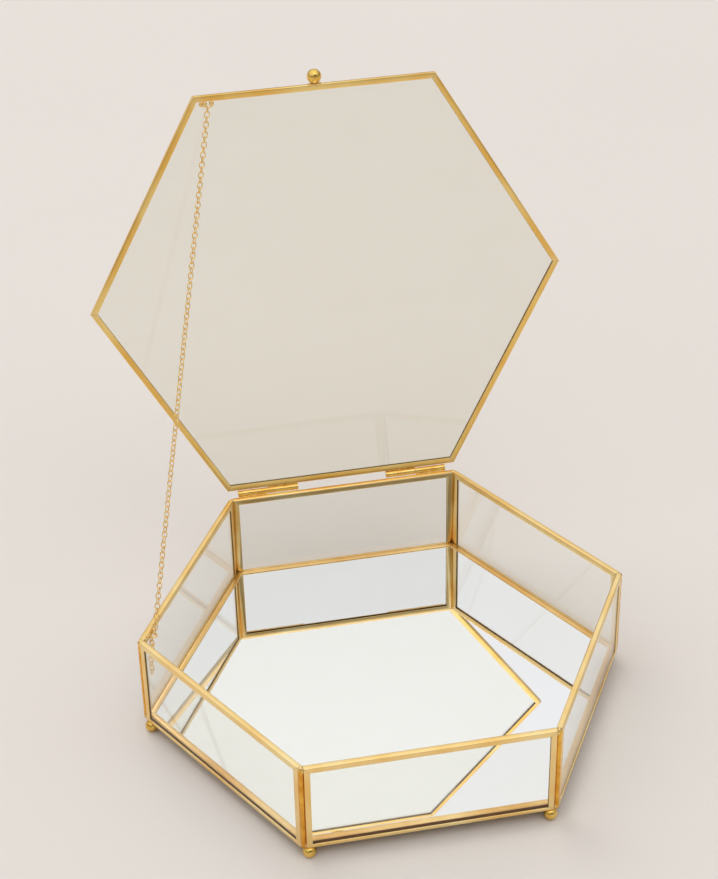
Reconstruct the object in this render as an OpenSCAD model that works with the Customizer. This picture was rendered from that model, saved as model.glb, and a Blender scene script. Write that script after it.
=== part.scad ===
// Hexagonal glass card box: six framed wall panes round a framed mirror base, with a hinged
// hexagonal glass lid that a fine link chain stops from falling back.
// Origin: centre of the box, on the plane that the ball feet stand on. The hinge is at +Y.

/* [Box] */
// Width of each wall pane, which is the inner side of the hexagon
pane_w = 122; // [110:1:140]
// Height of the wall panes, without the feet
wall_h = 51.2; // [44:0.1:60]

/* [Channel] */
// Thickness of the folded brass channel, across the glass
channel_t = 3.1; // [3:0.1:3.4]
// Depth of the channel's legs over the glass
channel_leg = 3.1; // [2.8:0.1:3.4]
// Thickness of the channel's brass sheet
sheet_t = 0.4; // [0.3:0.05:0.4]
// Thickness of the glass and of the mirror
glass_t = 2.2; // [1.8:0.1:2.2]
// Clearance round the edges of the glass
glass_gap = 0.1; // [0.05:0.05:0.3]

/* [Lid] */
// How far the lid's edge overhangs the walls, on each side
lid_overhang = 0.3; // [0.1:0.05:0.4]
// Angle of the open lid from closed, as the taut chain holds it
lid_angle = 102.7; // [98:0.1:106]
// Diameter of the ball knob
knob_d = 7.6; // [6:0.1:9]

/* [Hinge] */
// Outer diameter of the hinge tubes
tube_d = 3.4; // [3:0.1:3.4]
// Diameter of the hinge pins
pin_d = 1.6; // [1.2:0.1:1.8]
// Distance from the middle of the box to the near end of each hinge
hinge_start = 24.5; // [18:0.5:26]
// Length of each hinge, which is two knuckles long
hinge_len = 33; // [28:0.5:34]

/* [Feet] */
// Diameter of the ball feet
foot_d = 6.8; // [6:0.1:7.2]
// Height of the ball feet, between the flats filed on them
foot_h = 5.8; // [5.2:0.1:5.8]

/* [Chain] */
// Thickness of the links' wire
wire_d = 0.55; // [0.5:0.01:0.58]
// Outer width of a link
link_w = 3; // [2.8:0.05:3.2]
// Play between one link and the next
link_play = 0.25; // [0.15:0.01:0.3]
// Distance of the box's chain eye from the left corner, along the wall
box_eye_in = 6.4; // [6:0.1:9]
// Distance of the lid's chain eye from the middle, to the left
lid_eye_left = 55.4; // [54:0.1:56]

/* [Hidden] */

brass = [0.90, 0.71, 0.36];
solder = [0.86, 0.70, 0.42];
glass = [0.80, 0.86, 0.84, 0.45];
mirror_silver = [0.90, 0.92, 0.91];

// A hexagon's corner radius over its apothem
HEX = 2 / sqrt(3);

// Walls
inner_apothem = pane_w / HEX;
outer_apothem = inner_apothem + channel_t;
rim_z = foot_h + wall_h;

// Base, seated inside the foot of the walls
base_apothem = inner_apothem - 0.02;

// Lid, closed, with a hair of air between it and the rim
lid_apothem = outer_apothem + lid_overhang;
lid_z = rim_z + 0.3;

// Hinge axis, behind the rim of the back wall
axis_y = outer_apothem + 2.3;
axis_z = rim_z + 0.5;
pin_play = 0.03;
knuckle_gap = 0.2;
knuckle_len = (hinge_len - knuckle_gap) / 2;

// Chain eyes: staples of round wire that the chain's end links hang on
eye_wire = 0.8;
box_eye_r = 1.6;
box_eye_reach = 3.9;
box_eye_pull = 2.1;
box_eye_x = pane_w / 2 - box_eye_in;
box_eye_z = rim_z - 1.6;
lid_eye_r = 1.8;
lid_eye_y = 4.35 - lid_apothem;
lid_eye_z = lid_z - 1.15;
// Where round the lid eye's bow the chain pulls, from the bow's middle
lid_eye_lean = 14;

// The box's eye is held by its back leg, and the lid's by its bow
function turn_z(p, a) = [p.x * cos(a) - p.y * sin(a), p.x * sin(a) + p.y * cos(a), p.z];
function turn_x(p, a) = [p.x, p.y * cos(a) - p.z * sin(a), p.y * sin(a) + p.z * cos(a)];
axis_point = [0, axis_y, axis_z];
box_hold = turn_z([box_eye_x - box_eye_r, box_eye_pull - inner_apothem, box_eye_z], 240);
box_across = turn_z([0, 1, 0], 240);
lid_hold_closed = [
    -lid_eye_left - lid_eye_r * sin(lid_eye_lean),
    lid_eye_y + lid_eye_r * cos(lid_eye_lean),
    lid_eye_z
];
lid_hold = axis_point + turn_x(lid_hold_closed - axis_point, -lid_angle);
lid_across = turn_x([cos(lid_eye_lean), sin(lid_eye_lean), 0], -lid_angle);

// The chain, taut from one eye to the other
run_links = 8;
links = 13 * run_links;
// The first links turn singly, where the slack chain folds over the box's eye, and the others
// turn in runs. Run k starts at this link, counted from 0.
single_links = 3;
function run_start(k) =
    k <= single_links ? k - 1 : max(single_links, run_links * (k - single_links - 1));
chain_v = lid_hold - box_hold;
chain_len = norm(chain_v);
chain_yaw = atan2(chain_v.y, chain_v.x);
chain_rise = asin(chain_v.z / chain_len);
// An end link's wire passes behind its eye's wire
hook = (eye_wire + wire_d) / 2 + 0.05;
link_pitch = (chain_len + 2 * hook - wire_d - link_play) / links;
link_inner = link_pitch + link_play;
first_link = (link_inner + wire_d) / 2 - hook;
bend_r = (link_w - wire_d) / 2;
straight = link_inner + wire_d - 2 * bend_r;

// Roll of a link about the chain, for its flat side to face along t
chain_side = [-sin(chain_yaw), cos(chain_yaw), 0];
chain_up = cross(chain_v / chain_len, chain_side);
function roll_for(t) = atan2(-(t * chain_side), t * chain_up);
first_roll = roll_for(box_across);
// Small twist over the whole chain, which seats both end links square on their eyes
end_twist = (roll_for(lid_across) - first_roll - 90 + 450) % 180 - 90;
chain_twist = end_twist > 90 ? end_twist - 180 : end_twist;
roll_step = 90 + chain_twist / (links - 1);

module hexagon(apothem, height) {
    cylinder(r = apothem * HEX, h = height, $fn = 6);
}

// Places its children on wall i, where wall 0 is the front and the walls go round anticlockwise
module on_wall(i) {
    rotate([0, 0, 60 * i]) children();
}

// Turns the closed lid about the hinge to where the chain holds it
module open_lid() {
    translate(axis_point) rotate([-lid_angle, 0, 0]) translate(-axis_point) children();
}

// One pane's frame of folded channel, with its open side inwards all round
module pane_frame(w, h) {
    slot_t = channel_t - 2 * sheet_t;
    difference() {
        translate([-w / 2, 0, 0]) cube([w, channel_t, h]);
        translate([channel_leg - w / 2, -1, channel_leg])
            cube([w - 2 * channel_leg, channel_t + 2, h - 2 * channel_leg]);
        translate([sheet_t - w / 2, sheet_t, sheet_t])
            cube([w - 2 * sheet_t, slot_t, h - 2 * sheet_t]);
    }
}

module pane(w, h) {
    edge = sheet_t + glass_gap;
    translate([edge - w / 2, (channel_t - glass_t) / 2, edge])
        cube([w - 2 * edge, glass_t, h - 2 * edge]);
}

module wall_frame(i) {
    color(brass) on_wall(i) translate([0, -outer_apothem, foot_h]) pane_frame(pane_w, wall_h);
}

module wall_glass(i) {
    color(glass) on_wall(i) translate([0, -outer_apothem, foot_h]) pane(pane_w, wall_h);
}

// Hexagonal frame of the same channel, lying flat, for the base and for the lid
module hex_frame(apothem) {
    difference() {
        hexagon(apothem, channel_t);
        translate([0, 0, -1]) hexagon(apothem - channel_leg, channel_t + 2);
        translate([0, 0, sheet_t]) hexagon(apothem - sheet_t, channel_t - 2 * sheet_t);
    }
}

module hex_pane(apothem) {
    translate([0, 0, (channel_t - glass_t) / 2])
        hexagon(apothem - sheet_t - glass_gap, glass_t);
}

module base_frame() {
    color(brass) translate([0, 0, foot_h]) hex_frame(base_apothem);
}

module base_mirror() {
    color(mirror_silver) translate([0, 0, foot_h]) hex_pane(base_apothem);
}

// Beads of solder in the grooves outside the corners, at the rim and at the foot of the walls
module corner_solder() {
    bead_r = 2.4;
    bead_h = 3.6;
    color(solder) for (i = [0 : 5], z = [foot_h, rim_z - bead_h + 0.15])
        on_wall(i) translate([-pane_w / 2, -inner_apothem, z]) intersection() {
            translate([-0.4, -0.7, bead_h / 2]) sphere(r = bead_r, $fn = 32);
            linear_extrude(bead_h) polygon([[0, 0], [0, -5], [-5 * sin(60), -5 * cos(60)]]);
        }
}

// Ball foot, filed flat where it stands and where it is soldered on
module foot(p) {
    color(brass) translate([p.x, p.y, foot_h / 2]) intersection() {
        sphere(d = foot_d, $fn = 48);
        cube([foot_d, foot_d, foot_h], center = true);
    }
}

// The front and back walls have a foot at each end. The left corner has one in front of it, and
// the right one stands a little way behind its corner
foot_row = [pane_w / 2 - 1.6, inner_apothem + channel_t / 2];
left_foot = turn_z([2.2 - pane_w / 2, -foot_row.y, 0], 300);
right_foot = turn_z([8 - pane_w / 2, -foot_row.y, 0], 120);

module foot_front_left() { foot([-foot_row.x, -foot_row.y]); }
module foot_front_right() { foot([foot_row.x, -foot_row.y]); }
module foot_right() { foot(right_foot); }
module foot_back_right() { foot([foot_row.x, foot_row.y]); }
module foot_back_left() { foot([-foot_row.x, foot_row.y]); }
module foot_left() { foot(left_foot); }

// A cylinder along X on the hinge axis
module along_axis(x, length, d) {
    translate([x, axis_y, axis_z]) rotate([0, 90, 0]) cylinder(d = d, h = length, $fn = 32);
}

module knuckle(x) {
    difference() {
        along_axis(x, knuckle_len, tube_d);
        along_axis(x - 1, knuckle_len + 2, pin_d + 2 * pin_play);
    }
}

// Solder under a knuckle, as a profile drawn across the hinge axis
module hinge_fillet(x, profile) {
    difference() {
        translate([x, axis_y, axis_z]) rotate([90, 0, 90]) linear_extrude(knuckle_len) polygon(profile);
        along_axis(x - 1, knuckle_len + 2, tube_d + 0.02);
    }
}

box_knuckle_x = hinge_start + knuckle_len + knuckle_gap;

module box_knuckle_left() { color(brass) mirror([1, 0, 0]) knuckle(box_knuckle_x); }
module box_knuckle_right() { color(brass) knuckle(box_knuckle_x); }

module box_hinge_solder() {
    profile = [[-2.3, -0.5], [-2.3, -2.6], [-1.2, -2.2], [-0.6, -1.7], [-1, -0.5]];
    color(solder) for (side = [0, 1])
        mirror([side, 0, 0]) hinge_fillet(box_knuckle_x, profile);
}

module hinge_pin(x) {
    color(brass) along_axis(x, hinge_len - 0.4, pin_d);
}

module hinge_pin_left() { hinge_pin(0.2 - hinge_start - hinge_len); }
module hinge_pin_right() { hinge_pin(hinge_start + 0.2); }

module lid_knuckle_left() { color(brass) open_lid() mirror([1, 0, 0]) knuckle(hinge_start); }
module lid_knuckle_right() { color(brass) open_lid() knuckle(hinge_start); }

module lid_hinge_solder() {
    web = lid_apothem - axis_y;
    profile = [[web, 0], [web, 2.6], [-1.2, 2.3], [-0.5, 1.75], [-1, 0]];
    color(solder) open_lid() for (side = [0, 1])
        mirror([side, 0, 0]) hinge_fillet(hinge_start, profile);
}

module lid_frame() {
    color(brass) open_lid() translate([0, 0, lid_z]) hex_frame(lid_apothem);
}

module lid_glass() {
    color(glass) open_lid() translate([0, 0, lid_z]) hex_pane(lid_apothem);
}

// Ball knob on the lid's front edge, seated on a disc of solder
knob_seat = 0.35;
knob_at = [0, -lid_apothem - knob_seat, lid_z + channel_t / 2];

module knob() {
    color(brass) open_lid() difference() {
        translate(knob_at - [0, knob_d / 2 - 0.25, 0]) sphere(d = knob_d, $fn = 48);
        translate(knob_at - [5, 0, 5]) cube(10);
    }
}

module knob_solder() {
    color(solder) open_lid() intersection() {
        translate(knob_at) rotate([-90, 0, 0]) cylinder(r = 3.6, h = knob_seat, $fn = 32);
        translate(knob_at - [5, 1, channel_t / 2]) cube([10, 2, channel_t]);
    }
}

// Staple lying in XY: two legs up from y = from, joined by a bow that reaches to y = reach
module staple(r, from, reach, wire) {
    for (side = [-1, 1])
        translate([side * r, from, 0]) rotate([-90, 0, 0])
            cylinder(d = wire, h = reach - r - from, $fn = 24);
    translate([0, reach - r, 0]) rotate_extrude(angle = 180, $fn = 32)
        translate([r, 0]) circle(d = wire, $fn = 24);
}

module box_eye(wire) {
    on_wall(4) translate([box_eye_x, -inner_apothem, box_eye_z])
        staple(box_eye_r, 0.02, box_eye_reach, wire);
}

module box_chain_eye() {
    color(brass) box_eye(eye_wire);
}

// Long fillet of solder past the eye's legs to the corner, half round on the rail's inner face
module box_eye_solder() {
    bead_r = 1.15;
    from_x = box_eye_x - 6;
    bead_len = pane_w / 2 - 1.6 - from_x;
    color(solder) difference() {
        on_wall(4) translate([from_x, -inner_apothem, box_eye_z + 0.2]) rotate([0, 90, 0])
            rotate_extrude(angle = 180, $fn = 32) intersection() {
                union() {
                    for (y = [0, bead_len]) translate([0, y]) circle(r = bead_r, $fn = 32);
                    square([bead_r, bead_len]);
                }
                translate([0, -bead_r - 1]) square([bead_r + 1, bead_len + 2 * bead_r + 2]);
            }
        box_eye(eye_wire + 0.02);
    }
}

module lid_eye(wire) {
    translate([-lid_eye_left, lid_eye_y, lid_eye_z])
        staple(lid_eye_r, -0.5, lid_eye_r, wire);
}

module lid_chain_eye() {
    color(brass) open_lid() lid_eye(eye_wire);
}

// Solder in the corner between the lid's rail and its glass, clear of the wall's rim
module lid_eye_solder() {
    bead_r = 1.45;
    left_run = 1.5;
    glass_z = lid_z + (channel_t - glass_t) / 2;
    rail_y = channel_leg - lid_apothem;
    wall_y = 0.25 - inner_apothem;
    left_x = -lid_eye_left - lid_eye_r;
    color(solder) open_lid() difference() {
        union() {
            for (x = [left_x - left_run, left_x, left_x + 2 * lid_eye_r])
                translate([x, lid_eye_y, lid_z - 0.35]) sphere(r = bead_r, $fn = 32);
            translate([left_x - left_run, lid_eye_y, lid_z - 0.35]) rotate([0, 90, 0])
                cylinder(r = bead_r, h = left_run, $fn = 32);
        }
        translate([-70, wall_y - 10, lid_z - 5]) cube([40, 10, 5]);
        translate([-70, rail_y - 10, lid_z - 1]) cube([40, 10, 5]);
        translate([-70, lid_eye_y - 5, glass_z]) cube([40, 10, 5]);
        lid_eye(eye_wire + 0.02);
    }
}

// One link, lying in XY along X
module link() {
    for (turn = [0, 180]) rotate([0, 0, turn]) {
        translate([straight / 2, 0, 0]) rotate([0, 0, -90])
            rotate_extrude(angle = 180, $fn = 24) translate([bend_r, 0]) circle(d = wire_d, $fn = 16);
        translate([-straight / 2, bend_r, 0]) rotate([0, 90, 0])
            cylinder(d = wire_d, h = straight, $fn = 16);
    }
}

// Run k of the chain: its links stand across each other in turn
module chain_run(k) {
    color(brass) translate(box_hold) rotate([0, -chain_rise, chain_yaw])
        for (i = [run_start(k) : run_start(k + 1) - 1])
            translate([first_link + i * link_pitch, 0, 0]) rotate([first_roll + i * roll_step, 0, 0])
                link();
}

// Spare end of the chain, hanging down from the other leg of the box's eye
module chain_tail() {
    tail_links = 9;
    tail_hold = turn_z([box_eye_x + box_eye_r, 1.8 - inner_apothem, box_eye_z], 240);
    color(brass) translate(tail_hold) rotate([0, 90, 330])
        for (i = [0 : tail_links - 1])
            translate([first_link + i * link_pitch, 0, 0]) rotate([90 * i, 0, 0]) link();
}

wall_frame(0);  // wall_frame_front
wall_frame(1);  // wall_frame_front_right
wall_frame(2);  // wall_frame_back_right
wall_frame(3);  // wall_frame_back
wall_frame(4);  // wall_frame_back_left
wall_frame(5);  // wall_frame_front_left
wall_glass(0);  // wall_glass_front
wall_glass(1);  // wall_glass_front_right
wall_glass(2);  // wall_glass_back_right
wall_glass(3);  // wall_glass_back
wall_glass(4);  // wall_glass_back_left
wall_glass(5);  // wall_glass_front_left
base_frame();
base_mirror();
corner_solder();
foot_front_left();
foot_front_right();
foot_right();
foot_back_right();
foot_back_left();
foot_left();
box_knuckle_left();
box_knuckle_right();
box_hinge_solder();
hinge_pin_left();
hinge_pin_right();
box_chain_eye();
box_eye_solder();
lid_frame();
lid_glass();
lid_knuckle_left();
lid_knuckle_right();
lid_hinge_solder();
knob();
knob_solder();
lid_chain_eye();
lid_eye_solder();
chain_run(1);  // chain_run_01
chain_run(2);  // chain_run_02
chain_run(3);  // chain_run_03
chain_run(4);  // chain_run_04
chain_run(5);  // chain_run_05
chain_run(6);  // chain_run_06
chain_run(7);  // chain_run_07
chain_run(8);  // chain_run_08
chain_run(9);  // chain_run_09
chain_run(10);  // chain_run_10
chain_run(11);  // chain_run_11
chain_run(12);  // chain_run_12
chain_run(13);  // chain_run_13
chain_run(14);  // chain_run_14
chain_run(15);  // chain_run_15
chain_run(16);  // chain_run_16
chain_tail();
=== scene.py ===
# %% [markdown]
# # A hexagonal glass card box
# Six framed panes of clear glass stand round a framed mirror. A hinged glass lid leans back on a
# fine brass chain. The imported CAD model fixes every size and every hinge, and this script gives the
# piece its rolled edges, its hand-made details, its finishes and its light.

# %% [markdown]
# ## The fixed frame
# The CAD parts load at their real places, in metres, and each rides on the body that carries it.
# They could be modelled again by eye, but then the hinge and the chain would no longer meet. They
# come in selected, and an operator acts on all that is selected, so the first act is to let go.

# %% Load the fixed frame
import math

import bmesh
import bpy
from mathutils import Matrix, Vector


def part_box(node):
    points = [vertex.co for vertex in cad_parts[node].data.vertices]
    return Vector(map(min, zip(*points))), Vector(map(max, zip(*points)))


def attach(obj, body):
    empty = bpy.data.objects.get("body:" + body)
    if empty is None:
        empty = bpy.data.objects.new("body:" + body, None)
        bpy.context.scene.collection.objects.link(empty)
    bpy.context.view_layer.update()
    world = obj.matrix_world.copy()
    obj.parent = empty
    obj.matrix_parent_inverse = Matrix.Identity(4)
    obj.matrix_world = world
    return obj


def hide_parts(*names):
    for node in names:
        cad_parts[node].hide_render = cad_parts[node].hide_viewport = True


MM = 0.001

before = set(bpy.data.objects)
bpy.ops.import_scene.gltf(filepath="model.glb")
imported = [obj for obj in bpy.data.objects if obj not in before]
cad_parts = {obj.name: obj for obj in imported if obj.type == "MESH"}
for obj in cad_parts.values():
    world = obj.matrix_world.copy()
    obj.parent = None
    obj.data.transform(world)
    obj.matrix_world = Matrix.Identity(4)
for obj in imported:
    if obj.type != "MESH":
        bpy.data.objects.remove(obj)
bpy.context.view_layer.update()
bpy.ops.object.select_all(action="DESELECT")

# %% [markdown]
# ## Camera
# The box is seen from in front and above, a little from its left, with a long lens, so the
# verticals lean together only slightly. It could be aimed with a Track To constraint, but that
# can't hold a slight roll. A camera looks along its own -Z, so its matrix is made from three
# directions: right, up and backwards.

# %% Camera
AZIMUTH = math.radians(10.696)
ELEVATION = math.radians(34.741)
ROLL = math.radians(-1.177)
CAMERA_AT = Vector((-0.17114, -0.84753, 0.75976))
SENSOR = 36
FOCAL_PIXELS = 2193.3
PICTURE_WIDTH = 718

look = Vector((math.sin(AZIMUTH) * math.cos(ELEVATION),
               math.cos(AZIMUTH) * math.cos(ELEVATION),
               -math.sin(ELEVATION)))
level = Vector((math.cos(AZIMUTH), -math.sin(AZIMUTH), 0))
upright = level.cross(look)
right = math.cos(ROLL) * level + math.sin(ROLL) * upright
up = -math.sin(ROLL) * level + math.cos(ROLL) * upright

bpy.ops.object.camera_add()
camera = bpy.context.object
camera.name = "camera"
camera.matrix_world = Matrix.Translation(CAMERA_AT) @ Matrix(
    (right, up, -look)).transposed().to_4x4()
camera.data.sensor_fit = "HORIZONTAL"
camera.data.sensor_width = SENSOR
camera.data.lens = SENSOR * FOCAL_PIXELS / PICTURE_WIDTH
camera.data.clip_start = 0.02
camera.data.clip_end = 60
bpy.context.scene.camera = camera
print("lens, mm:", round(camera.data.lens, 1))

# %% [markdown]
# ## Node recipes
# A finish on the real box is several things at once: the metal, its polishing lines, its slow
# change of tone and the stain that soldering leaves. Each is a few nodes here. Adding nodes by
# hand in the editor is slow to repeat, so one small helper adds a node and wires its inputs.

# %% Helpers for node materials
def put(tree, kind, *values, **settings):
    """Adds a shader node. Values fill its inputs in order, and settings fill them by name."""
    node = tree.nodes.new("ShaderNode" + kind)
    pairs = list(enumerate(values))
    for name, value in settings.items():
        if hasattr(node, name):
            setattr(node, name, value)
        else:
            pairs.append((name.replace("_", " "), value))
    for name, value in pairs:
        if isinstance(value, bpy.types.NodeSocket):
            tree.links.new(value, node.inputs[name])
        elif value is not None:
            node.inputs[name].default_value = value
    return node


def sums(tree, operation, *values):
    """The result of a Math node."""
    return put(tree, "Math", *values, operation=operation).outputs[0]


def ramp(tree, value, low, high, start=0.0, end=1.0):
    """Maps low..high onto start..end, and holds it there."""
    return put(tree, "MapRange", value, low, high, start, end).outputs[0]


def blend(tree, share, first, second):
    """Mixes two colours by a share from 0 to 1."""
    node = put(tree, "Mix", data_type="RGBA", Factor=share)
    for socket, value in ((node.inputs[6], first), (node.inputs[7], second)):
        if isinstance(value, bpy.types.NodeSocket):
            tree.links.new(value, socket)
        else:
            socket.default_value = value
    return node.outputs[2]


def noise(tree, where, scale, detail=3.0, roughness=0.5):
    """A noise pattern, from 0 to 1."""
    return put(tree, "TexNoise", Vector=where, Scale=scale, Detail=detail,
               Roughness=roughness).outputs[0]


def stretched(tree, where, sizes, turn=(0, 0, 0)):
    """Coordinates turned, then scaled by sizes, so that a noise on them is drawn out."""
    turned = put(tree, "Mapping", where, Rotation=turn).outputs[0]
    return put(tree, "Mapping", turned, Scale=sizes).outputs[0]


def bump(tree, height, reach, normal=None):
    """A normal from a height from 0 to 1, whose full step is reach metres."""
    return put(tree, "Bump", Height=height, Distance=reach, Strength=1.0, Normal=normal).outputs[0]


def rgb(r, g, b):
    """A colour given as it looks on a screen, 0 to 255, as the linear value a shader takes."""
    def linear(c):
        c /= 255
        return c / 12.92 if c <= 0.04045 else ((c + 0.055) / 1.055) ** 2.4
    return (linear(r), linear(g), linear(b), 1)


def new_material(name):
    """An empty node material: the material, its tree and its Principled shader."""
    material = bpy.data.materials.new(name)
    material.use_nodes = True
    return material, material.node_tree, material.node_tree.nodes["Principled BSDF"]


def feed(tree, shader, **sockets):
    """Links sockets, or sets values, on the shader's inputs."""
    for name, value in sockets.items():
        socket = shader.inputs[name.replace("_", " ")]
        if isinstance(value, bpy.types.NodeSocket):
            tree.links.new(value, socket)
        else:
            socket.default_value = value


# %% [markdown]
# ## Floor
# The box stands on a seamless sheet of pale paper. The leaning lid mirrors the floor far behind
# the camera, and a short sheet would put its own edge into the glass as a dark line, so the plane
# reaches far past anything that the glass can show.

# %% Floor
FLOOR_SIZE = 100
bpy.ops.mesh.primitive_plane_add(size=FLOOR_SIZE, location=(0, 0, 0))
floor = bpy.context.object
floor.name = "floor"
paper, tree, shader = new_material("floor paper")
where = put(tree, "TexCoord").outputs["Object"]
fibres = noise(tree, where, 900, 4)
clouds = noise(tree, where, 3.5, 2)
feed(tree, shader, Base_Color=blend(tree, clouds, rgb(234, 227, 221), rgb(231, 224, 218)),
     Roughness=0.9, Normal=bump(tree, fibres, 0.00006))
shader.inputs["Specular IOR Level"].default_value = 0.1
floor.data.materials.append(paper)
print("floor, metres:", tuple(round(side) for side in floor.dimensions))

# %% [markdown]
# ## Dome
# Metal and glass show what stands round them, and a flat white world would make the brass look
# painted. The world is therefore a studio drawn as soft patches of brightness on a dome that is
# dim near the floor and brighter overhead. A black flag in front darkens the uprights at the back.
# A panel above it lights the inner face of the lid's frame, a low strip lies along the horizon in
# front for the top of the lid, a window stands on the left, and a sheet stands high behind for
# the mirror and the top edges.

# %% World
world = bpy.data.worlds.new("studio dome")
bpy.context.scene.world = world
world.use_nodes = True
tree = world.node_tree
toward = put(tree, "TexCoord").outputs["Generated"]
height = put(tree, "SeparateXYZ", toward).outputs[2]
graded = ramp(tree, height, 0.0, 1.0, 0.17, 1.12)


def patch(centre, wide, narrow, level, beyond=0.0):
    """A soft round patch of the dome: level within narrow degrees, beyond past wide degrees."""
    facing = put(tree, "VectorMath", toward, centre, operation="DOT_PRODUCT").outputs["Value"]
    return ramp(tree, facing, math.cos(math.radians(wide)), math.cos(math.radians(narrow)),
                beyond, level)


black_flag = patch((0.15, -0.86, 0.49), 24, 13, 0.2, beyond=1.0)
front_panel = patch((0.12, -0.50, 0.858), 16, 8, 0.75)
low_strip = patch((0.15, -0.985, 0.06), 18, 8, 0.55)
side_window = patch((-0.86, 0.25, 0.44), 34, 16, 0.12)
back_sheet = patch((0.15, 0.81, 0.567), 34, 20, 0.16)
dome = tree.nodes["Background"]
dome.inputs["Color"].default_value = (1, 0.995, 0.99, 1)
light = sums(tree, "MULTIPLY", graded, black_flag)
for soft in (front_panel, low_strip, side_window, back_sheet):
    light = sums(tree, "ADD", light, soft)
tree.links.new(light, dome.inputs["Strength"])
bpy.context.scene.view_settings.view_transform = "Standard"
print("dome nodes:", len(tree.nodes))

# %% [markdown]
# ## Lamp
# One broad lamp high behind the left corner throws the soft shadow forward and to the right. It is
# a disk several metres wide, because a small lamp would give a hard shadow. Glossy surfaces don't
# see it, so the dome alone draws the lines along the brass.

# %% Lamp
bpy.ops.object.light_add(type="AREA", location=(-3.0, 6.0, 7.4))
lamp = bpy.context.object
lamp.name = "wide lamp"
lamp.data.shape = "DISK"
lamp.data.size = 7.0
lamp.data.energy = 205
lamp.visible_glossy = False
lamp.rotation_euler = (-lamp.location).to_track_quat("-Z", "Y").to_euler()
print("lamp, metres away:", round(lamp.location.length, 2))

# %% [markdown]
# ## Working by hand
# Every added piece starts as a primitive at its size and place, and is then shaped in edit mode.
# A list of points and faces would also make a mesh, but it says nothing about how the metal is
# worked. The operators act on what is selected, so the faces or edges are picked first, by where
# they are and which way they face. The object itself stays at the origin, and its place is in its
# mesh.

# %% Helpers for modelling
def alone(piece):
    """Selects only this piece and makes it active."""
    bpy.ops.object.select_all(action="DESELECT")
    piece.select_set(True)
    bpy.context.view_layer.objects.active = piece


def settle(piece, name, place=None):
    """Names a piece, moves it to its place and puts that into its mesh."""
    piece.name = name
    piece.data.name = name
    if place is not None:
        piece.matrix_world = place @ piece.matrix_world
    alone(piece)
    bpy.ops.object.transform_apply(location=True, rotation=True, scale=True)
    return piece


def copy_of(piece, name, place=None):
    """A copy with its own mesh."""
    twin = piece.copy()
    twin.data = piece.data.copy()
    bpy.context.collection.objects.link(twin)
    return settle(twin, name, place)


def pick(piece, faces=None, edges=None):
    """In edit mode, selects faces by (centre, normal) or edges by (end, end)."""
    mesh = bmesh.from_edit_mesh(piece.data)
    bpy.ops.mesh.select_mode(type="FACE" if faces else "EDGE")
    for face in mesh.faces:
        face.select_set(False)
    for edge in mesh.edges:
        edge.select_set(False)
    if faces:
        chosen = [f for f in mesh.faces if faces(f.calc_center_median(), f.normal)]
    else:
        chosen = [e for e in mesh.edges if edges(e.verts[0].co, e.verts[1].co)]
    for item in chosen:
        item.select_set(True)
    bmesh.update_edit_mesh(piece.data)
    return len(chosen)


# %% [markdown]
# ## Folded channel
# Each pane sits in a frame of thin brass channel, folded to a U with softly rounded backs and cut
# to a mitre at its corners. The CAD frames are square-edged, and a square edge shows no highlight.
# A frame could be four separate lengths, but their mitres would need trimming to meet. Here it is
# one block: both faces are inset and bridged to open the window, the window's lining is inset and
# pushed in to make the slot, and the backs are then rolled with a bevel.

# %% Sizes and steps for channel
# A wall frame's width, and the heights of its two ends
PANE_W = 122 * MM
WALL_FOOT = 5.8 * MM
WALL_TOP = 57 * MM
# From the middle of the box to the inner faces of the walls
INNER = 105.655 * MM
# The channel's width, its sheet, and how far its folds and its cut lips are rounded
LEG = 3.1 * MM
SHEET = 0.4 * MM
FOLD = 0.62 * MM
LIP = 0.13 * MM
# Within this, two places are the same
NEAR = 0.02 * MM
middle = Vector((0, -(INNER + LEG / 2), (WALL_FOOT + WALL_TOP) / 2))
half = Vector((PANE_W / 2, LEG / 2, (WALL_TOP - WALL_FOOT) / 2))


def open_window(piece, across):
    """Insets the two faces that look along this axis by the leg, and bridges them."""
    pick(piece, faces=lambda c, n: abs(n[across]) > 0.9)
    bpy.ops.mesh.inset(thickness=LEG, use_even_offset=True, use_individual=True)
    bpy.ops.mesh.bridge_edge_loops()


def cut_slot(piece, lining):
    """Insets the window's lining by the sheet and pushes it into the leg."""
    count = pick(piece, faces=lining)
    bpy.ops.mesh.inset(thickness=SHEET, use_even_offset=True)
    bpy.ops.mesh.extrude_region_shrink_fatten(
        TRANSFORM_OT_shrink_fatten={"value": -(LEG - SHEET), "use_even_offset": True})
    return count


def roll_edges(piece, edges, width, segments):
    """Rounds the chosen edges."""
    count = pick(piece, edges=edges)
    bpy.ops.mesh.bevel(offset=width, segments=segments, profile=0.5, affect="EDGES",
                       clamp_overlap=False)
    return count


print("wall frame, mm:", [round(2 * side / MM, 2) for side in half])

# %% Open the window and cut the slot
bpy.ops.mesh.primitive_cube_add(size=1, location=middle, scale=half * 2)
wall_rail = settle(bpy.context.object, "wall_rail")
bpy.ops.object.mode_set(mode="EDIT")
open_window(wall_rail, 1)
lined = cut_slot(wall_rail, lambda c, n: abs(n.y) < 0.1
                 and abs(c.x) < half.x - LEG / 2 and abs(c.z - middle.z) < half.z - LEG / 2)
print("lining faces:", lined)

# %% [markdown]
# ## Rolled backs and cut lips
# A fold in sheet brass is round outside, and the cut edge of the sheet is barely broken. Both are
# bevels, one wide and one very narrow, on edges that are found by where their ends lie. The inner
# uprights keep square backs, because neighbouring frames touch along them.

# %% Roll the folds and the lips
def on_rim(p):
    """Whether a point is on the frame's outline."""
    return abs(abs(p.x) - half.x) < NEAR or abs(abs(p.z - middle.z) - half.z) < NEAR


def on_front(p):
    """Whether a point is on the frame's outer face."""
    return abs(p.y - (middle.y - half.y)) < NEAR


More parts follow.
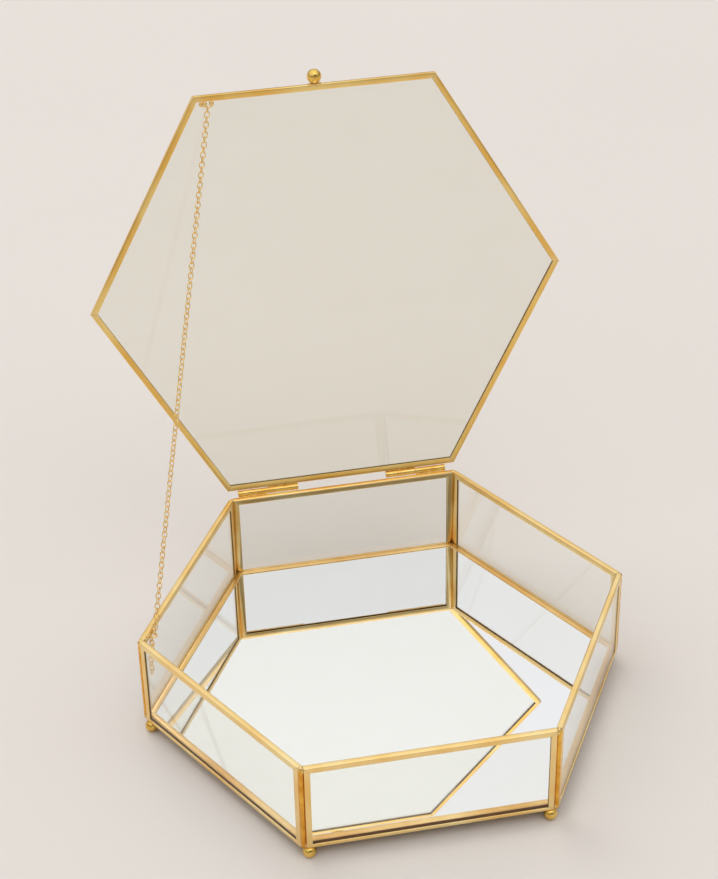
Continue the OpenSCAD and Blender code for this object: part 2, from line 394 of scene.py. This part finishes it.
def on_back(p):
    """Whether a point is on the frame's inner face."""
    return abs(p.y - (middle.y + half.y)) < NEAR


def rolled_back(a, b):
    """The long folds, save those of the inner uprights."""
    if not (on_rim(a) and on_rim(b)):
        return False
    if on_front(a) and on_front(b):
        return True
    return on_back(a) and on_back(b) and abs(a.z - b.z) < NEAR


def at_lip(a, b):
    """The edges of the sheet round the window."""
    def edge(p):
        in_x = abs(abs(p.x) - (half.x - LEG)) < NEAR and abs(p.z - middle.z) < half.z - LEG + NEAR
        in_z = abs(abs(p.z - middle.z) - (half.z - LEG)) < NEAR and abs(p.x) < half.x - LEG + NEAR
        return (in_x or in_z) and (on_front(p) or on_back(p))
    return edge(a) and edge(b)


folds = roll_edges(wall_rail, rolled_back, FOLD, 4)
lips = roll_edges(wall_rail, at_lip, LIP, 2)
print("folds:", folds, "lips:", lips)

# %% [markdown]
# ## The low front lip
# The outer lip under each pane is cut lower than the inner one, so that the pane can be tipped in,
# and it leaves a dark line below the glass. A second frame shape would do the same. It is quicker
# to pick the lip's few points and move them down.

# %% Lower the front lip
LIP_DROP = 0.9 * MM
mesh = bmesh.from_edit_mesh(wall_rail.data)
bpy.ops.mesh.select_mode(type="VERT")
lip_height = WALL_FOOT + LEG
for vertex in mesh.verts:
    p = vertex.co
    vertex.select_set(p.y < middle.y - half.y + SHEET + NEAR
                      and abs(p.z - lip_height) < LIP + NEAR
                      and abs(p.x) < half.x - LEG + LIP + NEAR)
lowered = sum(vertex.select for vertex in mesh.verts)
bmesh.update_edit_mesh(wall_rail.data)
bpy.ops.transform.translate(value=(0, 0, -LIP_DROP))
bpy.ops.object.mode_set(mode="OBJECT")
print("points lowered:", lowered)

# %% [markdown]
# ## Which way the metal runs
# Polishing lines run along each length of channel and stop at its mitres. A pattern on plain
# object coordinates can't know that, and unwrapping by hand would have to be done again for each
# frame. So every corner of every face is given its place along its own rail and in from its edge
# as a UV map. Two attributes hold values that come out equal at the mitre, and a third marks the
# slot, which the finish paints dark as shade.

# %% Lay the grain
SLOT_STARTS = 0.35 * MM
# Moves each rail's grain along, so that no two rails match
RAIL_SHIFT = 0.4
# Carries the grain round the folds, from one leg to the other
AROUND = 1.7
SMOOTH_BELOW = math.radians(40)


def lay_grain(piece, centre, axis, rails, tight):
    """rails is a list of (outward, along, reach, half length at the edge)."""
    while piece.data.uv_layers:
        piece.data.uv_layers.remove(piece.data.uv_layers[0])
    piece.data.uv_layers.new(name="grain")
    for name in ("along", "reach", "in_slot"):
        piece.data.attributes.new(name, "FLOAT", "CORNER")
    uv = piece.data.uv_layers["grain"]
    place_along = piece.data.attributes["along"]
    place_reach = piece.data.attributes["reach"]
    slot = piece.data.attributes["in_slot"]
    for face in piece.data.polygons:
        to_face = face.center - centre
        outward, along, reach, length = max(rails, key=lambda r: to_face.dot(r[0]) - r[2])
        depth = reach - to_face.dot(outward)
        sunk = abs(to_face.dot(axis)) < LEG / 2 - SHEET + NEAR and depth > SLOT_STARTS
        rail = rails.index((outward, along, reach, length))
        for loop in face.loop_indices:
            p = piece.data.vertices[piece.data.loops[loop].vertex_index].co - centre
            run = p.dot(along)
            inside = reach - p.dot(outward)
            uv.data[loop].uv = (run + rail * RAIL_SHIFT, inside + AROUND * p.dot(axis))
            place_along.data[loop].value = run / MM
            place_reach.data[loop].value = (length - inside * tight) / MM
            slot.data[loop].value = 1.0 if sunk else 0.0
    sunken = sum(item.value for item in slot.data)
    print(piece.name, "corners in the slot:", sunken, "of", len(slot.data))


X, Y, Z = Vector((1, 0, 0)), Vector((0, 1, 0)), Vector((0, 0, 1))
lay_grain(wall_rail, middle, Y, [(Z, X, half.z, half.x), (-Z, X, half.z, half.x),
                                 (X, Z, half.x, half.z), (-X, Z, half.x, half.z)], 1.0)
alone(wall_rail)
bpy.ops.object.shade_smooth_by_angle(angle=SMOOTH_BELOW)

# %% [markdown]
# ## Six alike
# The walls are six frames off one bench, so one frame is modelled and copies are turned by a sixth
# of a turn each. An array modifier would keep them as one piece, and each has to stand for its own
# CAD frame.

# %% Turn copies round the box
SIXTH = math.radians(60)
SIDES = ("front", "front_right", "back_right", "back", "back_left", "front_left")
rails = []
for number, side in enumerate(SIDES):
    turned = Matrix.Rotation(SIXTH * number, 4, "Z")
    rail = copy_of(wall_rail, "channel_" + side, turned)
    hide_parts("wall_frame_" + side)
    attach(rail, "box")
    rails.append(rail)
bpy.data.objects.remove(wall_rail)
print("wall channels:", len(rails))

# %% [markdown]
# ## Hexagonal frames
# The mirror and the lid's pane are held in the same channel, bent to a hexagon. It could be built
# as six lengths, but a six-sided cylinder has the right outline already. The steps are then the
# same as for the wall: inset, bridge, push in the slot and roll the backs.

# %% How a hexagonal frame is made
HALF_CORNER = math.radians(30)


def hexagon_rail(name, reach, z_low):
    """A hexagonal frame of channel, lying flat, reach from its centre to its sides."""
    corner = reach / math.cos(HALF_CORNER)
    bpy.ops.mesh.primitive_cylinder_add(vertices=6, radius=corner, depth=LEG,
                                        location=(0, 0, z_low + LEG / 2))
    ring = bpy.context.object
    # Two of the corners have to lie on X, as the box's do
    tip = max(abs(v.co.x) for v in ring.data.vertices)
    if tip < corner - NEAR:
        ring.rotation_euler.z = HALF_CORNER
    settle(ring, name)
    bpy.ops.object.mode_set(mode="EDIT")
    open_window(ring, 2)
    cut_slot(ring, lambda c, n: abs(n.z) < 0.1 and c.xy.length < reach - LEG / 2)
    outer = corner - 0.5 * MM
    level_edges = (z_low, z_low + LEG)

    def rolled(a, b):
        """The long folds at the top and bottom of the outline."""
        if min(a.xy.length, b.xy.length) < outer:
            return False
        return abs(a.z - b.z) < NEAR and min(abs(a.z - z) for z in level_edges) < NEAR

    def lip(a, b):
        """The edges of the sheet round the window."""
        rim = (reach - LEG) / math.cos(HALF_CORNER)
        return (max(abs(p.xy.length - rim) for p in (a, b)) < NEAR and abs(a.z - b.z) < NEAR
                and min(abs(a.z - z) for z in level_edges) < NEAR)

    rolls = roll_edges(ring, rolled, FOLD, 4)
    lips = roll_edges(ring, lip, LIP, 2)
    bpy.ops.object.mode_set(mode="OBJECT")
    sides = []
    for number in range(6):
        angle = math.radians(60 * number - 90)
        outward = Vector((math.cos(angle), math.sin(angle), 0))
        sides.append((outward, Z.cross(outward), reach, corner / 2))
    lay_grain(ring, Vector((0, 0, z_low + LEG / 2)), Z, sides, math.tan(HALF_CORNER))
    alone(ring)
    bpy.ops.object.shade_smooth_by_angle(angle=SMOOTH_BELOW)
    print(name, "folds:", rolls, "lips:", lips)
    return ring


# %% [markdown]
# ## Base and lid frames
# The base frame slips inside the walls with a hair of room. The lid frame reaches past them a
# little all round, and rests on them when it is shut. It is easiest to make lying flat, so it is
# made shut and then turned back about the hinge, where the chain stops it.

# %% Base frame
BASE_ROOM = 0.02 * MM
base_rail = hexagon_rail("channel_base", INNER - BASE_ROOM, WALL_FOOT)
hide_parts("base_frame")
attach(base_rail, "box")

# %% Lid frame
LID_REACH = 0.3 * MM
LID_Z = 57.3 * MM
HINGE_AT = Vector((0, 111.055, 57.5)) * MM
LEANS_BACK = math.radians(102.7)
lid_back = (Matrix.Translation(HINGE_AT) @ Matrix.Rotation(-LEANS_BACK, 4, "X")
            @ Matrix.Translation(-HINGE_AT))
lid_rail = hexagon_rail("channel_lid", INNER + LEG + LID_REACH, LID_Z)
settle(lid_rail, "channel_lid", lid_back)
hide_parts("lid_frame")
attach(lid_rail, "lid")
rails += [base_rail, lid_rail]

# %% How far the frames are from the CAD
for piece, node in ((base_rail, "base_frame"), (lid_rail, "lid_frame")):
    low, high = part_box(node)
    made = [v.co for v in piece.data.vertices]
    print(node, "off by, mm:",
          [round(abs(min(p[i] for p in made) - low[i]) / MM, 2) for i in range(3)],
          [round(abs(max(p[i] for p in made) - high[i]) / MM, 2) for i in range(3)])

# %% [markdown]
# ## Solder
# The corners, the knob, the eyes and the hinges are joined with soft solder that is plated over.
# Real solder is never a clean ball: it slumps, and it keeps the marks of the iron. It could be
# sculpted, but only by hand. Instead a copy of each CAD fillet is merged, rebuilt on a fine grid
# and pushed about by a soft cloud pattern, so that it keeps its place and size and loses its
# perfect form.

# %% Lumpy solder
lumps = bpy.data.textures.new("solder lumps", type="CLOUDS")
lumps.noise_scale = 1.1 * MM
lumps.noise_depth = 1
SAME_POINT = 0.01 * MM


def push_about(piece, push, swell=0.5):
    """Pushes the surface in and out by the lumps. A low swell makes the piece fuller."""
    uneven = piece.modifiers.new("uneven", "DISPLACE")
    uneven.texture = lumps
    uneven.texture_coords = "LOCAL"
    uneven.strength = push
    uneven.mid_level = swell
    bpy.ops.object.modifier_apply(modifier="uneven")
    bpy.ops.object.shade_smooth()


def melt(node, name, body, grid, push, swell=0.5):
    """A lumpy copy of a CAD solder node, rebuilt on a grid of this size."""
    piece = copy_of(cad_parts[node], name)
    piece.parent = None
    piece.matrix_world = Matrix.Identity(4)
    alone(piece)
    bpy.ops.object.mode_set(mode="EDIT")
    bpy.ops.mesh.select_all(action="SELECT")
    bpy.ops.mesh.remove_doubles(threshold=SAME_POINT)
    bpy.ops.object.mode_set(mode="OBJECT")
    rebuild = piece.modifiers.new("grid", "REMESH")
    rebuild.mode = "VOXEL"
    rebuild.voxel_size = grid
    soften = piece.modifiers.new("soften", "SMOOTH")
    soften.iterations = 3
    for modifier in ("grid", "soften"):
        bpy.ops.object.modifier_apply(modifier=modifier)
    push_about(piece, push, swell)
    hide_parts(node)
    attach(piece, body)
    print(name, "faces", len(piece.data.polygons))
    return piece


solders = [
    melt("corner_solder", "corner_beads", "box", 0.22 * MM, 0.4 * MM),
    melt("box_hinge_solder", "box_hinge_fillets", "box", 0.22 * MM, 0.3 * MM),
    melt("box_eye_solder", "box_eye_fillet", "box", 0.16 * MM, 0.45 * MM),
    melt("lid_hinge_solder", "lid_hinge_fillets", "lid", 0.22 * MM, 0.3 * MM),
    melt("lid_eye_solder", "lid_eye_fillet", "lid", 0.16 * MM, 0.35 * MM, 0.8),
    melt("knob_solder", "knob_fillet", "lid", 0.12 * MM, 0.3 * MM),
]

# %% [markdown]
# ## Seams between the walls
# Where two wall frames meet, their inner edges touch and their backs open a groove. The maker runs
# solder down each groove from top to bottom, and its drag leaves it slightly rough. A swept curve
# would be as round, but it has no rings to push about. So one cylinder is laid in the front left
# groove, where it touches both frames, and its sides are cut into short rings and its ends into
# small ones.

# %% Solder in one groove
SEAM_R = 1.15 * MM
SEAM_SHORT = 0.8 * MM
RING_CUTS = 119
END_INSET = 0.35 * MM
GROOVE_HALF = math.radians(30)
groove_at = INNER / math.cos(HALF_CORNER) + SEAM_R / math.sin(GROOVE_HALF)
seam_low, seam_high = WALL_FOOT + SEAM_SHORT, WALL_TOP - SEAM_SHORT
bpy.ops.object.select_all(action="DESELECT")
bpy.ops.mesh.primitive_cylinder_add(
    vertices=20, radius=SEAM_R, depth=seam_high - seam_low,
    location=(-groove_at / 2, -groove_at * math.cos(HALF_CORNER), (seam_low + seam_high) / 2))
seam = settle(bpy.context.object, "groove_seam_front_left")
bpy.ops.object.mode_set(mode="EDIT")
cuts = pick(seam, edges=lambda a, b: abs(a.z - b.z) > 1 * MM)
bpy.ops.mesh.subdivide(number_cuts=RING_CUTS)
ends = pick(seam, faces=lambda c, n: abs(n.z) > 0.9)
bpy.ops.mesh.inset(thickness=END_INSET)
bpy.ops.mesh.inset(thickness=END_INSET)
bpy.ops.object.mode_set(mode="OBJECT")
push_about(seam, 0.3 * MM)
print("long edges cut:", cuts, "ends:", ends)

# %% Solder in the other grooves
seams = [seam]
for number, side in enumerate(SIDES[:-1]):
    turned = Matrix.Rotation(SIXTH * (number + 1), 4, "Z")
    seams.append(copy_of(seam, "groove_seam_" + side, turned))
for piece in seams:
    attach(piece, "box")
solders += seams
print("groove seams:", len(seams))

# %% [markdown]
# ## Brass finishes
# The channel is polished brass under a clear lacquer. Close up it shows fine lines along its
# length, slow changes from pale to deep gold, a paler stain where solder ran at the mitres and a
# thin dark line in each mitre. The slot where the glass goes in is painted dark as shade. A picture
# of brass wrapped round the frame would stretch at the mitres, so each of these is a pattern on the
# grain laid above.

# %% Brass channel
PALE = rgb(255, 233, 174)
GOLD = rgb(254, 221, 146)
DEEP = rgb(246, 202, 120)
TINNED = rgb(255, 228, 164)
# Painted shade for the slot: dark brown where little light reaches inside the channel
SLOT_SHADE = rgb(146, 90, 34)
JOINT = rgb(146, 104, 48)


def brass_channel(name, pale, gold, deep, inside=SLOT_SHADE):
    """Lacquered brass channel, whose lines follow the grain, with its slot painted the inside colour
    as shade.
    """
    material, tree, shader = new_material(name)
    grain = put(tree, "UVMap", uv_map="grain").outputs[0]
    where = put(tree, "TexCoord").outputs["Object"]
    lines = noise(tree, stretched(tree, grain, (28, 2600, 1)), 1.0, 4, 0.6)
    drag = noise(tree, stretched(tree, grain, (60, 700, 1)), 1.0, 3)
    slow = noise(tree, where, 34, 3)
    ripple = noise(tree, where, 120, 1)
    along, reach, slot = [
        put(tree, "Attribute", attribute_name=laid, attribute_type="GEOMETRY").outputs["Fac"]
        for laid in ("along", "reach", "in_slot")]
    seam = sums(tree, "SUBTRACT", reach, sums(tree, "ABSOLUTE", along))
    ragged = sums(tree, "ADD", seam, sums(tree, "MULTIPLY", slow, 5.0))
    tinned = ramp(tree, ragged, 7.2, 2.4, 0.0, 0.5)
    mitre = ramp(tree, sums(tree, "ABSOLUTE", seam), 0.13, 0.05)
    tone = blend(tree, ramp(tree, slow, 0.35, 0.68), deep, pale)
    tone = blend(tree, ramp(tree, drag, 0.3, 0.75, 0.0, 0.4), tone, gold)
    tone = blend(tree, ramp(tree, lines, 0.52, 0.8, 0.0, 0.1), tone, deep)
    tone = blend(tree, tinned, tone, TINNED)
    tone = blend(tree, sums(tree, "MULTIPLY", mitre, 0.6), tone, JOINT)
    # The slot is painted dark as shade, and below it is also made rougher and less metallic
    tone = blend(tree, slot, tone, inside)
    rough = ramp(tree, drag, 0.2, 0.8, 0.26, 0.34)
    rough = sums(tree, "ADD", rough, sums(tree, "MULTIPLY", tinned, 0.12))
    rough = sums(tree, "ADD", rough, sums(tree, "MULTIPLY", slot, 0.35))
    normal = bump(tree, lines, 0.000003)
    normal = bump(tree, ripple, 0.000015, normal)
    normal = bump(tree, mitre, -0.00004, normal)
    feed(tree, shader, Base_Color=tone, Roughness=rough, Normal=normal,
         Metallic=ramp(tree, slot, 0.0, 1.0, 1.0, 0.35))
    shader.inputs["Coat Weight"].default_value = 0.3
    shader.inputs["Coat Roughness"].default_value = 0.12
    print(name, "nodes:", len(tree.nodes))
    return material


# %% [markdown]
# ## Three tones of channel
# Walls, base and lid are the same channel with three sets of colours: the base is darker as painted
# shade, for the base set low inside the walls, and the lid is a deeper yellow. Three separate
# materials could drift apart, so one recipe makes all three from their own colours.

# %% Finish the frames
channel_finish = brass_channel("polished brass channel", PALE, GOLD, DEEP)
# The base's darker colours are painted shade, for the base set low inside the walls
base_shaded_finish = brass_channel("shaded brass base channel", rgb(250, 216, 150), rgb(240, 196, 120),
                            rgb(222, 168, 88))
# The lid's last colour is the painted shade of its slot, lighter than on the walls
lid_finish = brass_channel("polished brass lid channel", rgb(255, 224, 144), rgb(252, 210, 118),
                           rgb(243, 190, 90), rgb(150, 128, 92))
own_finish = {base_rail: base_shaded_finish, lid_rail: lid_finish}
for rail in rails:
    rail.data.materials.clear()
    rail.data.materials.append(own_finish.get(rail, channel_finish))
print("frames finished:", len(rails))

# %% [markdown]
# ## Balls, tubes, wire and solder
# The feet and the knob are turned, the hinge tubes are rolled and the chain is drawn wire, so none
# has long polishing lines. They show a slow change of tone, small dull spots and a very fine grain,
# each at a scale that suits the size of the piece. One recipe with a few numbers serves them all.

# %% Turned, drawn and soldered brass
def turned_brass(name, scale, light, dark, low, high):
    """Brass without long lines: balls, tubes and wire."""
    material, tree, shader = new_material(name)
    where = put(tree, "TexCoord").outputs["Object"]
    slow = noise(tree, where, scale, 3)
    fine = noise(tree, where, scale * 14, 3)
    spots = ramp(tree, noise(tree, where, scale * 5, 2), 0.62, 0.74, 0.0, 0.5)
    tone = blend(tree, ramp(tree, slow, 0.35, 0.65), dark, light)
    tone = blend(tree, spots, tone, dark)
    normal = bump(tree, fine, 0.000015)
    normal = bump(tree, slow, 0.00012, normal)
    feed(tree, shader, Base_Color=tone, Metallic=1.0, Normal=normal,
         Roughness=ramp(tree, fine, 0.3, 0.7, low, high))
    shader.inputs["Coat Weight"].default_value = 0.3
    shader.inputs["Coat Roughness"].default_value = 0.1
    print(name, "nodes:", len(tree.nodes))
    return material


ball_brass = turned_brass("turned ball brass", 220,
                          rgb(248, 210, 112), rgb(228, 180, 76), 0.12, 0.22)
tube_brass = turned_brass("rolled tube brass", 260,
                          rgb(250, 212, 124), rgb(236, 188, 92), 0.2, 0.34)
chain_brass = turned_brass("bright chain wire", 400, rgb(255, 224, 150), DEEP, 0.1, 0.22)
run_solder = turned_brass("run solder", 160, rgb(247, 192, 76), rgb(222, 152, 40), 0.16, 0.3)

# %% [markdown]
# ## Plated solder
# Solder under plating is paler than the brass, because the plating takes less well on it. It is
# pitted and slightly slumped, which fine bumps show better than more lumps in the mesh would.

# %% Plated solder
solder_finish, tree, shader = new_material("plated solder")
where = put(tree, "TexCoord").outputs["Object"]
slump = noise(tree, where, 420, 3)
pits = noise(tree, where, 1500, 2)
tone = blend(tree, ramp(tree, slump, 0.35, 0.65), rgb(238, 196, 118), rgb(255, 232, 172))
normal = bump(tree, slump, 0.00025)
normal = bump(tree, pits, 0.00004, normal)
feed(tree, shader, Base_Color=tone, Metallic=1.0, Normal=normal,
     Roughness=ramp(tree, slump, 0.3, 0.7, 0.18, 0.36))
for piece in solders:
    piece.data.materials.clear()
    piece.data.materials.append(run_solder if piece in seams else solder_finish)
print("solder pieces finished:", len(solders))

# %% [markdown]
# ## Clear glass
# The panes are thin sheet glass. A sheet that clear shows itself by what it takes away: two
# faces reflect a little and the body is faintly grey. Drawn glass is never quite flat either, and
# hands leave a trace, so a slow ripple and a very light smear are added. A renderer treats a pane
# as a wall to the lamps, so for their rays alone each pane is plainly see-through, and the floor
# round the box stays as light as it does round real glass.

# %% Clear glass
def pane_glass(name, tint, clear):
    """Sheet glass between two near tints, see-through to the rays that test for a lamp."""
    material, tree, shader = new_material(name)
    where = put(tree, "TexCoord").outputs["Object"]
    drawn = noise(tree, where, 14, 1)
    smear = noise(tree, stretched(tree, where, (30, 30, 60)), 1.0, 4)
    feed(tree, shader, Base_Color=blend(tree, smear, tint, clear),
         Transmission_Weight=1.0, Normal=bump(tree, drawn, 0.00006),
         Roughness=ramp(tree, smear, 0.55, 0.8, 0.0, 0.035))
    shader.inputs["IOR"].default_value = 1.5
    through = put(tree, "BsdfTransparent", (0.86, 0.86, 0.83, 1)).outputs[0]
    from_lamp = put(tree, "LightPath").outputs["Is Shadow Ray"]
    either = put(tree, "MixShader", from_lamp, shader.outputs[0], through).outputs[0]
    tree.links.new(either, tree.nodes["Material Output"].inputs["Surface"])
    print(name, "nodes:", len(tree.nodes))
    return material


wall_glass = pane_glass("wall pane glass", rgb(250, 250, 246), rgb(252, 253, 250))
lid_glass = pane_glass("lid pane glass", rgb(243, 243, 235), rgb(246, 246, 239))

# %% [markdown]
# ## Mirror
# The base is the same glass with silver behind it. Glass over a second sheet of metal would be
# truer but slower and noisier, and a metal base under a clear coat looks the same from above. A
# thin haze and a few specks keep it from being a perfect mirror.

# %% Mirror
silver, tree, shader = new_material("silvered glass")
where = put(tree, "TexCoord").outputs["Object"]
haze = noise(tree, where, 45, 5)
specks = ramp(tree, noise(tree, where, 1400, 2), 0.74, 0.78, 0.0, 0.35)
feed(tree, shader, Metallic=1.0,
     Base_Color=blend(tree, specks, rgb(241, 242, 244), rgb(204, 204, 202)),
     Roughness=ramp(tree, haze, 0.45, 0.8, 0.006, 0.04))
shader.inputs["Coat Weight"].default_value = 1.0
shader.inputs["Coat Roughness"].default_value = 0.0
print("silvered glass nodes:", len(tree.nodes))

# %% [markdown]
# ## Parts kept from the CAD
# The panes, feet, knob, hinge tubes, eyes and chain already have their true shape, so they are kept
# and only get a finish. Each node's name says what it is, and that picks its finish. A round part
# comes in as patches that only touch, so a live Weld modifier closes its seams as it is drawn. The
# node's own mesh isn't changed.

# %% Finish the carried-over nodes
WELD_WITHIN = 0.004 * MM
ROUND_STARTS = ("foot", "knob", "chain")
ROUND_PARTS = ("knuckle", "pin")


def finish_for(name):
    """The finish of a CAD node, by what it is."""
    if name == "lid_glass":
        return lid_glass
    if "glass" in name:
        return wall_glass
    if name == "base_mirror":
        return silver
    if name.startswith("chain") or name.endswith("chain_eye"):
        return chain_brass
    if name.startswith("foot") or name == "knob":
        return ball_brass
    return tube_brass


def is_round(name):
    """Whether a CAD node is a ball, a tube or wire."""
    return (name.startswith(ROUND_STARTS) or name.endswith("chain_eye")
            or any(part in name for part in ROUND_PARTS))


welded = 0
for name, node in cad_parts.items():
    node.data.materials.clear()
    node.data.materials.append(finish_for(name))
    if is_round(name):
        weld = node.modifiers.new("weld", "WELD")
        weld.merge_threshold = WELD_WITHIN
        welded += 1
print("nodes finished:", len(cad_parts), "welded:", welded)
